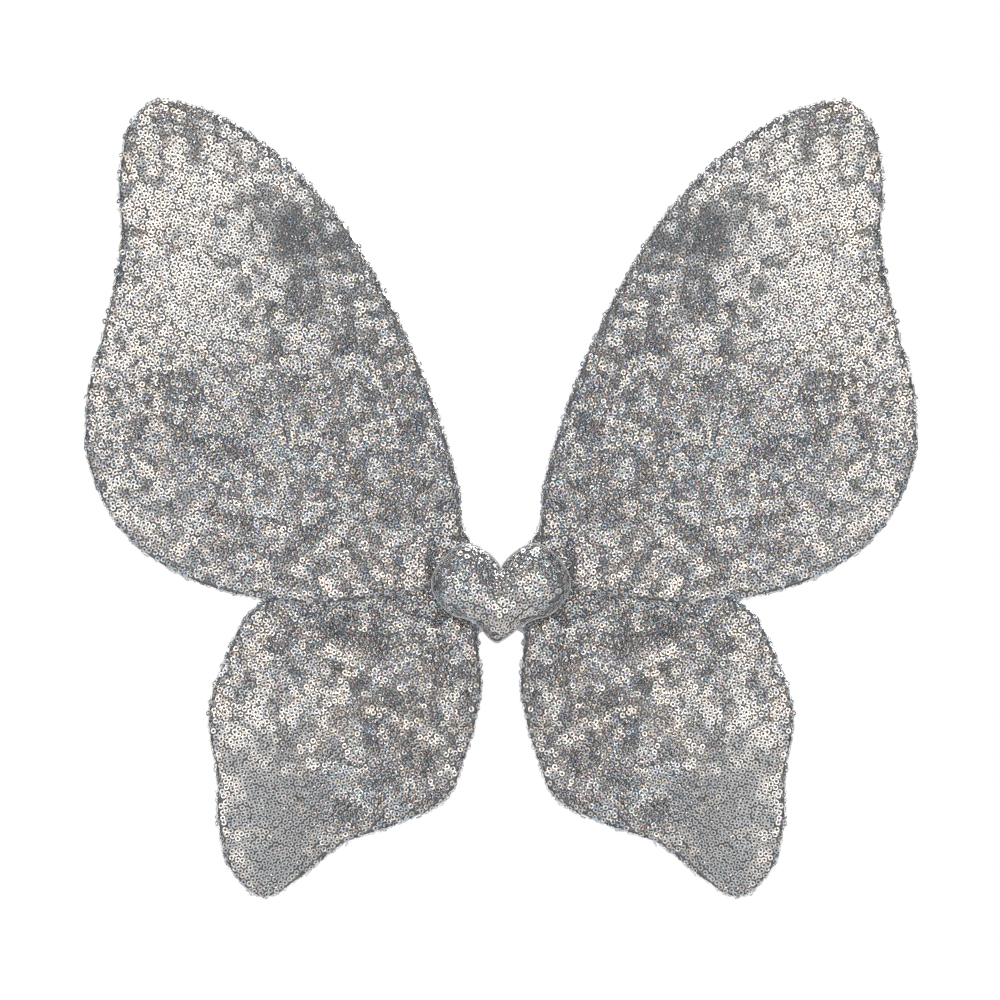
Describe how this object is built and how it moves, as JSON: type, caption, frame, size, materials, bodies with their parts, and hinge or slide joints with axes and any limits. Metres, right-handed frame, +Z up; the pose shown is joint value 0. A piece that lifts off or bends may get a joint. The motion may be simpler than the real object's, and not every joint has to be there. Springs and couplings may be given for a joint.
{
  "type": "costume fairy wings",
  "caption": "Butterfly-shaped costume wings in silver sequin cloth: padded wire-rimmed lobes joined behind a padded heart, with elastic arm loops on the back.",
  "frame": {"origin": "on the outer face of the back patch, level with the middle of the heart and on the line of symmetry", "axes": "+Z up as worn, +Y out of the back patch towards the wearer, +X along the span to the right as seen from the sequined side"},
  "size_m": [0.415, 0.1351, 0.3985],
  "materials": {
    "sequin_cloth": "gloss",
    "lining_cloth": "satin",
    "wadding": "matte",
    "coated_wire": "gloss",
    "crimp_metal": "satin",
    "centre_felt": "matte",
    "elastic": "satin"
  },
  "bodies": {
    "centre": {"heart_sequin_cover": "sequin_cloth", "heart_back_cover": "lining_cloth", "heart_filling": "wadding", "centre_block": "centre_felt", "back_patch": "centre_felt", "left_strap_ends": "elastic", "right_strap_ends": "elastic"},
    "left_upper_wing": {"left_upper_sequin_cover": "sequin_cloth", "left_upper_lining": "lining_cloth", "left_upper_wadding": "wadding", "left_upper_rim_wire": "coated_wire", "left_upper_ferrule": "crimp_metal"},
    "left_lower_wing": {"left_lower_sequin_cover": "sequin_cloth", "left_lower_lining": "lining_cloth", "left_lower_wadding": "wadding", "left_lower_rim_wire": "coated_wire", "left_lower_ferrule": "crimp_metal"},
    "left_arm_loop": {"left_strap": "elastic"},
    "right_upper_wing": {"right_upper_sequin_cover": "sequin_cloth", "right_upper_lining": "lining_cloth", "right_upper_wadding": "wadding", "right_upper_rim_wire": "coated_wire", "right_upper_ferrule": "crimp_metal"},
    "right_lower_wing": {"right_lower_sequin_cover": "sequin_cloth", "right_lower_lining": "lining_cloth", "right_lower_wadding": "wadding", "right_lower_rim_wire": "coated_wire", "right_lower_ferrule": "crimp_metal"},
    "right_arm_loop": {"right_strap": "elastic"}
  },
  "joints": [
    {"name": "left_wing_fold", "type": "hinge", "parent": "centre", "child": "left_upper_wing", "pos_m": [-0.015, -0.0065, 0], "axis": [0, 0, -1], "range_deg": [-8, 55]},
    {"name": "left_lower_flex", "type": "hinge", "parent": "left_upper_wing", "child": "left_lower_wing", "pos_m": [-0.015, -0.0065, 0], "axis": [0, 0, -1], "range_deg": [0, 15]},
    {"name": "left_loop_swing", "type": "hinge", "parent": "centre", "child": "left_arm_loop", "pos_m": [-0.0053, -0.0018, 0], "axis": [0, 0, -1], "range_deg": [-20, 25]},
    {"name": "right_wing_fold", "type": "hinge", "parent": "centre", "child": "right_upper_wing", "pos_m": [0.015, -0.0065, 0], "axis": [0, 0, 1], "range_deg": [-8, 55]},
    {"name": "right_lower_flex", "type": "hinge", "parent": "right_upper_wing", "child": "right_lower_wing", "pos_m": [0.015, -0.0065, 0], "axis": [0, 0, 1], "range_deg": [0, 15]},
    {"name": "right_loop_swing", "type": "hinge", "parent": "centre", "child": "right_arm_loop", "pos_m": [0.0053, -0.0018, 0], "axis": [0, 0, 1], "range_deg": [-20, 25]}
  ]
}
